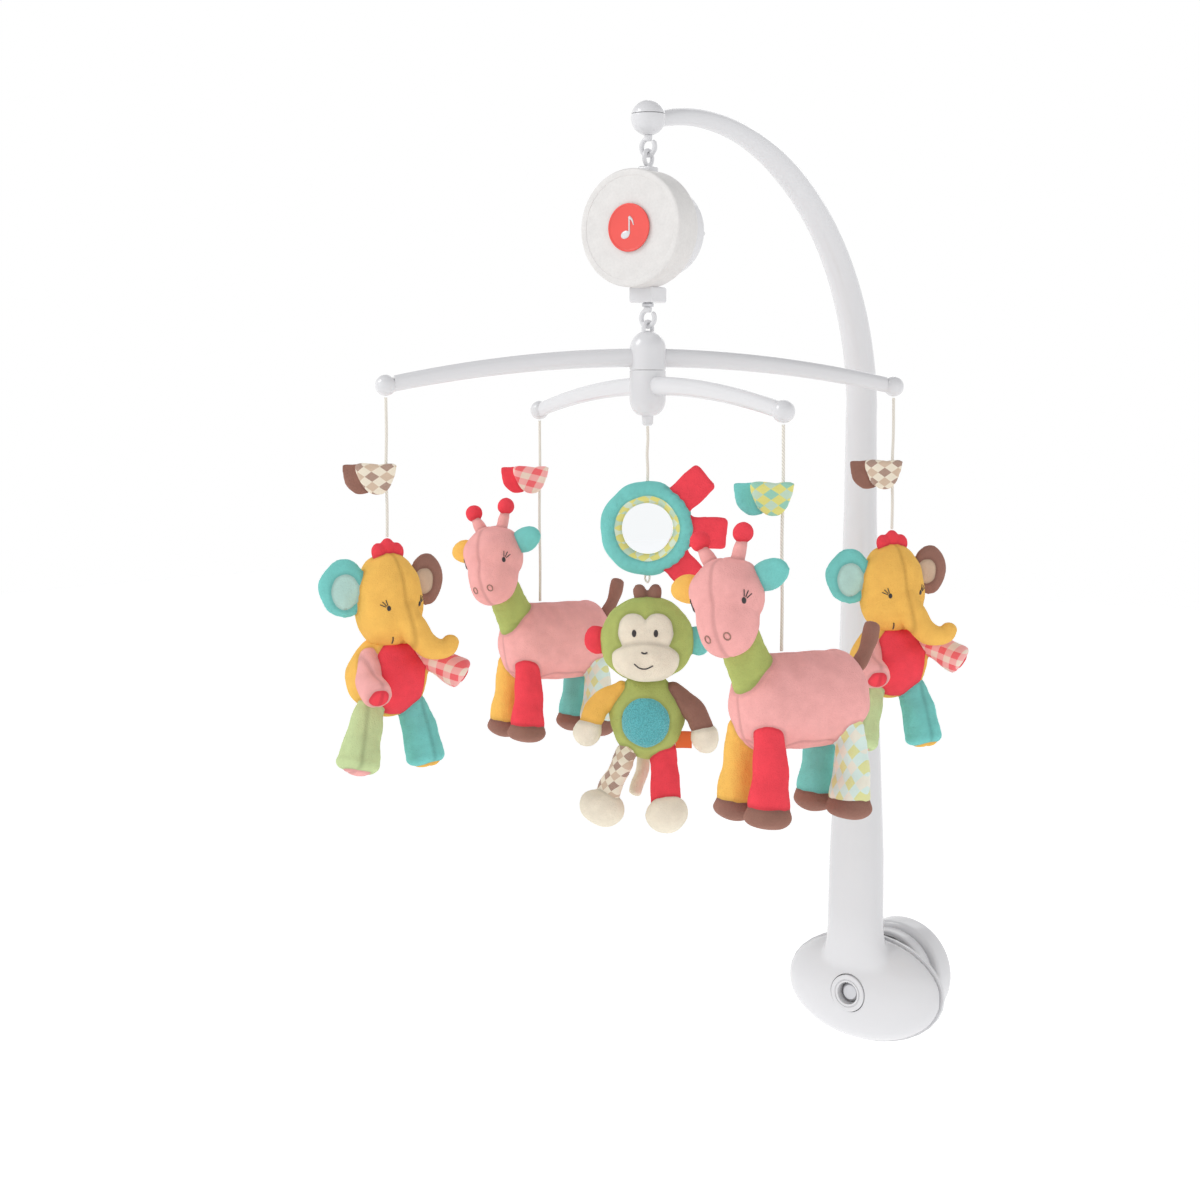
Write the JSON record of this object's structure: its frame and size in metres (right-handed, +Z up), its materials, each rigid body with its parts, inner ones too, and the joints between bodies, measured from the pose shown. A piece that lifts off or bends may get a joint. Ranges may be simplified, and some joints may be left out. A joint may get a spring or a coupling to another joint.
{
  "type": "crib mobile",
  "caption": "Clamp-on cot mobile: a mast and curved arm hold a wind-up music box that slowly turns a cross of hanging plush animals.",
  "frame": {"origin": "on the clamp's rubber rail face, on the centre line, 25 mm above the clamp screw's axis", "axes": "+Y out of the rail face through the cot rail, +X along the rail, +Z up; the arm reaches towards -Y over the cot"},
  "size_m": [0.3689, 0.5134, 0.6462],
  "materials": {
    "white_plastic": "smooth glossy moulded plastic",
    "textured_white_plastic": "fine stone-like moulded texture",
    "grey_rubber": "matt soft rubber",
    "steel": "bright zinc-plated steel",
    "brass": "plain machined brass",
    "coral_badge": "satin plastic disc with a raised plain note",
    "mirror": "acrylic safety mirror",
    "off_white_cord": "twisted cotton cord",
    "yellow_velour": "short-pile velour",
    "pink_velour": "short-pile velour",
    "green_velour": "short-pile velour",
    "coral_velour": "short-pile velour",
    "turquoise_velour": "short-pile velour",
    "brown_velour": "short-pile velour",
    "cream_velour": "short-pile velour",
    "turquoise_check": "printed cotton jersey",
    "coral_check": "printed cotton jersey",
    "brown_check": "printed cotton jersey",
    "embroidery": "satin-stitched thread",
    "orange_tag": "woven ribbon, blank"
  },
  "bodies": {
    "stand": {"clamp_shell": "white_plastic", "clamp_collar": "white_plastic", "clamp_base": "white_plastic", "rail_pad": "grey_rubber", "clamp_screw": "steel", "mast_lower": "white_plastic", "mast_upper": "white_plastic", "arm_ball": "white_plastic", "arm_ball_cap": "white_plastic", "arm_hook": "white_plastic"},
    "clamp_plate": {"pressure_plate": "white_plastic", "pressure_pad": "grey_rubber"},
    "clamp_knob": {"clamp_knob": "white_plastic"},
    "music_box": {"box_front_shell": "textured_white_plastic", "box_rear_shell": "white_plastic", "box_badge": "coral_badge", "box_eye": "white_plastic", "box_neck": "white_plastic", "box_screw_left": "steel", "box_screw_right": "steel", "movement_plate": "brass", "tone_comb": "steel"},
    "winding_key": {"winding_key": "white_plastic"},
    "spring_barrel": {"spring_barrel": "brass"},
    "pin_cylinder": {"pin_cylinder": "brass"},
    "governor_fan": {"governor_fan": "brass"},
    "spindle": {"output_spindle": "steel", "spindle_hook": "white_plastic"},
    "cross": {"hub_upper": "white_plastic", "hub_lower": "white_plastic", "arm_elephant_left": "white_plastic", "arm_elephant_right": "white_plastic", "arm_giraffe_front": "white_plastic", "arm_giraffe_back": "white_plastic", "tip_elephant_left": "white_plastic", "tip_elephant_right": "white_plastic", "tip_giraffe_front": "white_plastic", "tip_giraffe_back": "white_plastic"},
    "hang_elephant_left": {"string_elephant_left": "off_white_cord", "leaf_elephant_left": "brown_check"},
    "elephant_left": {"elephant_left_body": "yellow_velour", "elephant_left_head": "yellow_velour"},
    "hang_elephant_right": {"string_elephant_right": "off_white_cord", "leaf_elephant_right": "brown_check"},
    "elephant_right": {"elephant_right_body": "yellow_velour", "elephant_right_head": "yellow_velour"},
    "hang_giraffe_front": {"string_giraffe_front": "off_white_cord", "leaf_giraffe_front": "turquoise_check"},
    "giraffe_front": {"giraffe_front_body": "pink_velour", "giraffe_front_head": "pink_velour"},
    "hang_giraffe_back": {"string_giraffe_back": "off_white_cord", "leaf_giraffe_back": "coral_check"},
    "giraffe_back": {"giraffe_back_body": "pink_velour", "giraffe_back_head": "pink_velour"},
    "hang_centre": {"string_centre": "off_white_cord"},
    "sun": {"sun_ring": "turquoise_velour", "sun_mirror": "mirror", "string_monkey": "off_white_cord"},
    "monkey": {"monkey_body": "green_velour", "monkey_head": "green_velour"}
  },
  "joints": [
    {"name": "knob_turn", "type": "hinge", "parent": "clamp_plate", "child": "clamp_knob", "pos_m": [0, 0, -0.025], "axis": [0, 1, 0], "range_deg": [-720, 1260]},
    {"name": "knob_travel", "type": "slide", "parent": "stand", "child": "clamp_plate", "axis": [0, 1, 0], "range_m": [-0.0085, 0.0145]},
    {"name": "box_swing", "type": "hinge", "parent": "stand", "child": "music_box", "pos_m": [0, -0.279, 0.5478], "axis": [0, 1, 0], "range_deg": [-5, 5]},
    {"name": "key_wind", "type": "hinge", "parent": "music_box", "child": "winding_key", "pos_m": [0, -0.279, 0.5035], "axis": [-0.0698, 0.9976, 0], "range_deg": [0, 1440]},
    {"name": "spindle_turn", "type": "hinge", "parent": "music_box", "child": "spindle", "pos_m": [0, -0.279, 0.46], "axis": [0, 0, 1], "continuous": true},
    {"name": "barrel_turn", "type": "hinge", "parent": "music_box", "child": "spring_barrel", "pos_m": [0, -0.279, 0.5035], "axis": [0.0698, -0.9976, 0], "continuous": true},
    {"name": "cylinder_turn", "type": "hinge", "parent": "music_box", "child": "pin_cylinder", "pos_m": [0.01436, -0.278, 0.5035], "axis": [0.0698, -0.9976, 0], "continuous": true},
    {"name": "governor_turn", "type": "hinge", "parent": "music_box", "child": "governor_fan", "pos_m": [-0.01436, -0.28, 0.5035], "axis": [0.0698, -0.9976, 0], "continuous": true},
    {"name": "cross_swing", "type": "hinge", "parent": "spindle", "child": "cross", "pos_m": [0, -0.279, 0.4458], "axis": [0, 1, 0], "range_deg": [-2, 2]},
    {"name": "elephant_left_swing", "type": "hinge", "parent": "cross", "child": "hang_elephant_left", "pos_m": [-0.10004, -0.40387, 0.41], "axis": [-0.6252, -0.7804, 0], "range_deg": [-6, 6]},
    {"name": "elephant_left_spin", "type": "hinge", "parent": "hang_elephant_left", "child": "elephant_left", "pos_m": [-0.10004, -0.40387, 0.41], "axis": [0, 0, 1], "continuous": true},
    {"name": "elephant_right_swing", "type": "hinge", "parent": "cross", "child": "hang_elephant_right", "pos_m": [0.10004, -0.15413, 0.41], "axis": [0.6252, 0.7804, 0], "range_deg": [-6, 6]},
    {"name": "elephant_right_spin", "type": "hinge", "parent": "hang_elephant_right", "child": "elephant_right", "pos_m": [0.10004, -0.15413, 0.41], "axis": [0, 0, 1], "continuous": true},
    {"name": "giraffe_front_swing", "type": "hinge", "parent": "cross", "child": "hang_giraffe_front", "pos_m": [0.14243, -0.35189, 0.395], "axis": [0.8902, -0.4555, 0], "range_deg": [-6, 6]},
    {"name": "giraffe_front_spin", "type": "hinge", "parent": "hang_giraffe_front", "child": "giraffe_front", "pos_m": [0.14243, -0.35189, 0.395], "axis": [0, 0, 1], "continuous": true},
    {"name": "giraffe_back_swing", "type": "hinge", "parent": "cross", "child": "hang_giraffe_back", "pos_m": [-0.14243, -0.20611, 0.395], "axis": [-0.8902, 0.4555, 0], "range_deg": [-6, 6]},
    {"name": "giraffe_back_spin", "type": "hinge", "parent": "hang_giraffe_back", "child": "giraffe_back", "pos_m": [-0.14243, -0.20611, 0.395], "axis": [0, 0, 1], "continuous": true},
    {"name": "centre_swing", "type": "hinge", "parent": "cross", "child": "hang_centre", "pos_m": [0, -0.279, 0.386], "axis": [0, 1, 0], "range_deg": [-5, 5]},
    {"name": "sun_spin", "type": "hinge", "parent": "hang_centre", "child": "sun", "pos_m": [0, -0.279, 0.352], "axis": [0, 0, 1], "continuous": true},
    {"name": "monkey_spin", "type": "hinge", "parent": "sun", "child": "monkey", "pos_m": [0, -0.279, 0.2905], "axis": [0, 0, 1], "continuous": true}
  ],
  "couplings": [
    {"joint": "knob_travel", "follows": "knob_turn", "m_per_rad": 0.00063662},
    {"joint": "barrel_turn", "follows": "spindle_turn", "ratio": 0.25},
    {"joint": "cylinder_turn", "follows": "spindle_turn", "ratio": -0.75},
    {"joint": "governor_turn", "follows": "spindle_turn", "ratio": -0.75}
  ]
}
